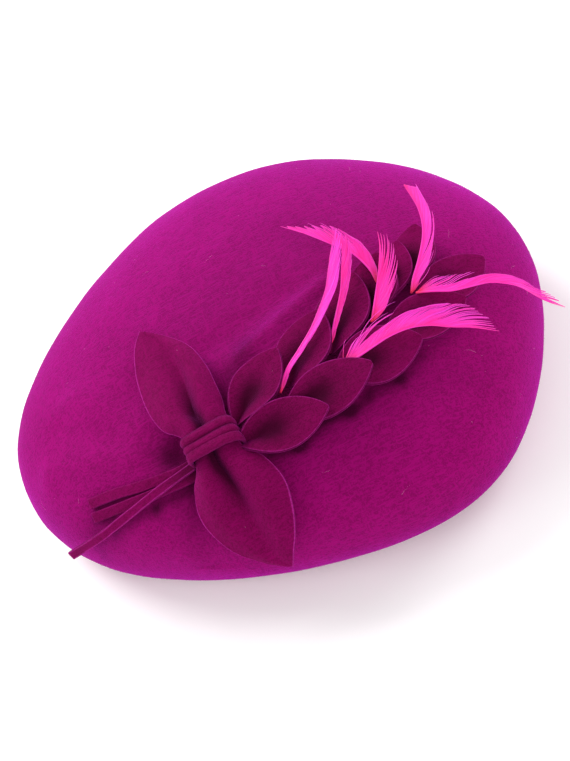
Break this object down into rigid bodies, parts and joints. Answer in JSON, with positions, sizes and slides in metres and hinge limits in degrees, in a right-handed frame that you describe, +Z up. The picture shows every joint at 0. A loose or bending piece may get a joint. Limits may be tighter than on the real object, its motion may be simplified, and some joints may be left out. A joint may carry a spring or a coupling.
{
  "type": "felt beret",
  "caption": "Soft felt beret with a rolled edge and an open underside, trimmed along its front with felt leaves, a bound felt bow, felt stems and a spray of feathers.",
  "frame": {"origin": "middle of the hat's box in plan, on the surface that its rolled edge rests on", "axes": "+Z up, +X towards the wearer's left end of the long axis, where the spray of leaves runs out, -Y the trimmed front"},
  "size_m": [0.279, 0.2528, 0.1062],
  "materials": {
    "body_felt": "brushed wool felt",
    "trim_felt": "brushed wool felt",
    "feather": "soft dyed feather"
  },
  "bodies": {
    "root": {"beret_body": "body_felt", "bow_felt": "trim_felt", "bow_wrap": "trim_felt", "stem_back": "trim_felt", "stem_middle": "trim_felt", "stem_front": "trim_felt", "leaf_back_1": "trim_felt", "leaf_back_2": "trim_felt", "leaf_back_3": "trim_felt", "leaf_back_4": "trim_felt", "leaf_back_5": "trim_felt", "leaf_back_6": "trim_felt", "leaf_front_1": "trim_felt", "leaf_front_2": "trim_felt", "leaf_front_3": "trim_felt", "leaf_front_4": "trim_felt", "leaf_front_5": "trim_felt", "feather_1": "feather", "feather_2": "feather", "feather_3": "feather", "feather_4": "feather", "feather_5": "feather", "feather_6": "feather", "feather_7": "feather"}
  },
  "joints": []
}
